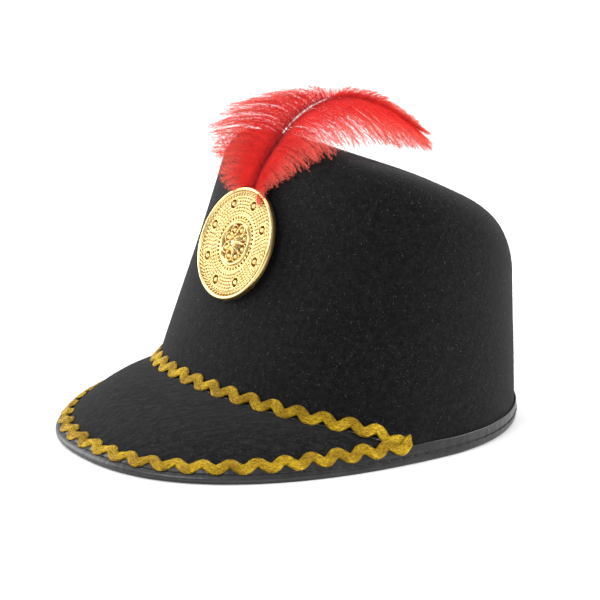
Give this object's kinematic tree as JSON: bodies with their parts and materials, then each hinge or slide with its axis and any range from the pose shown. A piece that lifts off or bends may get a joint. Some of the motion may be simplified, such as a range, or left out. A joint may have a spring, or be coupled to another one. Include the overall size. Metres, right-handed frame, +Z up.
{
  "type": "shako hat",
  "caption": "Moulded felt shako with a peak, bound rim, wavy gold braids, a round stamped medallion and an arching ostrich plume; worn on the head.",
  "frame": {"origin": "bottom centre of the bounding box, on the surface that the rim rests on", "axes": "+Z up, -Y forward over the peak, +Y to the back of the head, +X to the wearer's left"},
  "size_m": [0.1944, 0.233, 0.1667],
  "materials": {
    "black_felt": "short-pile black felt",
    "binding_tape": "soft-gloss dark grey vinyl tape, stitched",
    "gold_braid": "metallic gold thread, braided",
    "gold_metal": "pale gold plating on stamped metal",
    "red_quill": "dyed dark red quill",
    "red_barbs": "dyed bright red ostrich barbs"
  },
  "bodies": {
    "root": {"felt_body": "black_felt", "rim_binding": "binding_tape", "crease_rickrack": "gold_braid", "peak_rickrack": "gold_braid", "medallion": "gold_metal", "medallion_post": "gold_metal", "plume_quill": "red_quill", "plume_front_barbs": "red_barbs", "plume_rear_barbs": "red_barbs"}
  },
  "joints": []
}
